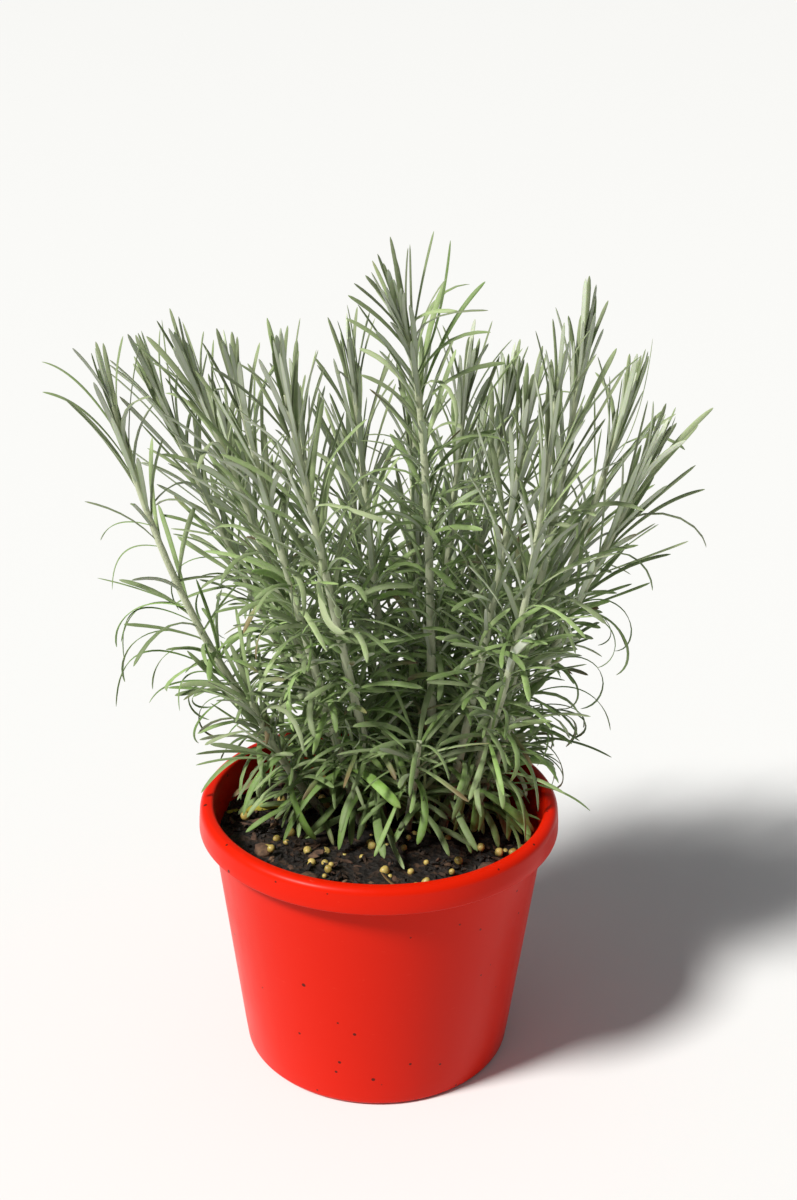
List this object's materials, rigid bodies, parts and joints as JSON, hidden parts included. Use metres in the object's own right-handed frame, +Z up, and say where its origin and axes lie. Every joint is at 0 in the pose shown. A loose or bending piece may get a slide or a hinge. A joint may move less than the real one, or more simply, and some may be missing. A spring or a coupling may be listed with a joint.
{
  "type": "potted curry plant",
  "caption": "Bushy herb with upright felted silver-green shoots of narrow leaves, rooted in dark potting mix in a round tapered plastic nursery pot with a rolled rim.",
  "frame": {"origin": "middle of the flat face under the pot, which the plant stands on", "axes": "+Z up the pot's axis; +X to the right of the side with the open space over the mix, and -Y out of that side"},
  "size_m": [0.2111, 0.165, 0.3153],
  "materials": {
    "pot_plastic": "gloss injection-moulded polypropylene, lightly scuffed",
    "potting_mix": "damp composted bark, crumbly and near black",
    "shoot": "silver-green leaves and pale stems under a fine white felt",
    "bark": "rough pine bark",
    "dry_leaf": "dry, yellow to brown",
    "fertiliser_coating": "thin resin coat, satin"
  },
  "bodies": {
    "root": {"bark_chip_front": "bark", "bark_chip_front_right": "bark", "bark_chip_left": "bark", "bark_chip_rear": "bark", "bark_chip_right": "bark", "fallen_leaf_front": "dry_leaf", "fallen_leaf_rear": "dry_leaf", "fallen_leaf_yellow": "dry_leaf", "fertiliser_bead_01": "fertiliser_coating", "fertiliser_bead_02": "fertiliser_coating", "fertiliser_bead_03": "fertiliser_coating", "fertiliser_bead_04": "fertiliser_coating", "fertiliser_bead_05": "fertiliser_coating", "fertiliser_bead_06": "fertiliser_coating", "fertiliser_bead_07": "fertiliser_coating", "fertiliser_bead_08": "fertiliser_coating", "fertiliser_bead_09": "fertiliser_coating", "fertiliser_bead_10": "fertiliser_coating", "fertiliser_bead_11": "fertiliser_coating", "fertiliser_bead_12": "fertiliser_coating", "fertiliser_bead_13": "fertiliser_coating", "fertiliser_bead_14": "fertiliser_coating", "fertiliser_bead_15": "fertiliser_coating", "fertiliser_bead_16": "fertiliser_coating", "fertiliser_bead_17": "fertiliser_coating", "fertiliser_bead_18": "fertiliser_coating", "pot": "pot_plastic", "potting_mix": "potting_mix", "shoot_centre_rear": "shoot", "shoot_front": "shoot", "shoot_front_left_inner": "shoot", "shoot_front_left_outer": "shoot", "shoot_left_middle": "shoot", "shoot_left_rear": "shoot", "shoot_rear": "shoot", "shoot_rear_left": "shoot", "shoot_rear_left_outer": "shoot", "shoot_rear_outer": "shoot", "shoot_rear_right": "shoot", "shoot_right": "shoot", "shoot_right_front": "shoot", "shoot_right_inner": "shoot", "shoot_right_outer": "shoot", "shoot_right_rear": "shoot", "shoot_right_rear_inner": "shoot", "shoot_right_rear_outer": "shoot", "shoot_short_front": "shoot", "shoot_short_left": "shoot", "shoot_short_rear": "shoot", "shoot_short_rear_right": "shoot", "shoot_short_right": "shoot", "shoot_tallest": "shoot"}
  },
  "joints": []
}
